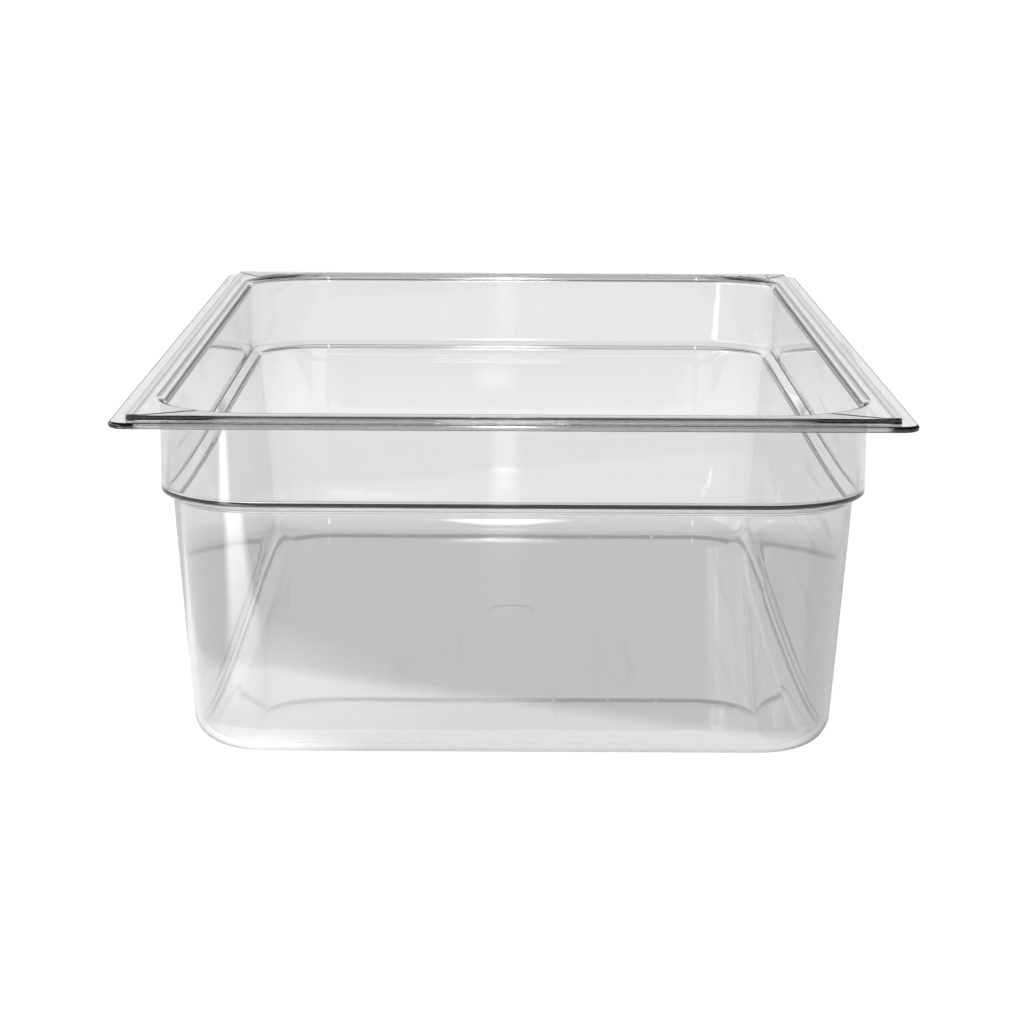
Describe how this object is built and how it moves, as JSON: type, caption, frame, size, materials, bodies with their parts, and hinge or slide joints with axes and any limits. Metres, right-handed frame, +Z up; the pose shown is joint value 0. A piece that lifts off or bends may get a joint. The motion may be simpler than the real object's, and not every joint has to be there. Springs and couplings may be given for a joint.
{
  "type": "food pan",
  "caption": "Clear full-size gastronorm food pan, 530 by 325 by 150 mm nominal, with a stepped flange, corner pads and a stacking shoulder.",
  "frame": {"origin": "centre of the underside of the floor, where the pan stands", "axes": "+X across the pan (325 mm way), +Y along it (530 mm way), +Z up"},
  "size_m": [0.325, 0.53, 0.148],
  "materials": {
    "clear_polycarbonate": "clear moulded polycarbonate, polished, with light use scratches"
  },
  "bodies": {
    "root": {"floor_panel": "clear_polycarbonate", "floor_heel": "clear_polycarbonate", "lower_wall_front": "clear_polycarbonate", "lower_wall_right": "clear_polycarbonate", "lower_wall_back": "clear_polycarbonate", "lower_wall_left": "clear_polycarbonate", "lower_wall_corners": "clear_polycarbonate", "stacking_shoulder": "clear_polycarbonate", "upper_wall_front": "clear_polycarbonate", "upper_wall_right": "clear_polycarbonate", "upper_wall_back": "clear_polycarbonate", "upper_wall_left": "clear_polycarbonate", "upper_wall_corners": "clear_polycarbonate", "rim_front": "clear_polycarbonate", "rim_right": "clear_polycarbonate", "rim_back": "clear_polycarbonate", "rim_left": "clear_polycarbonate", "rim_corners": "clear_polycarbonate", "outer_lip": "clear_polycarbonate", "corner_pads": "clear_polycarbonate"}
  },
  "joints": []
}
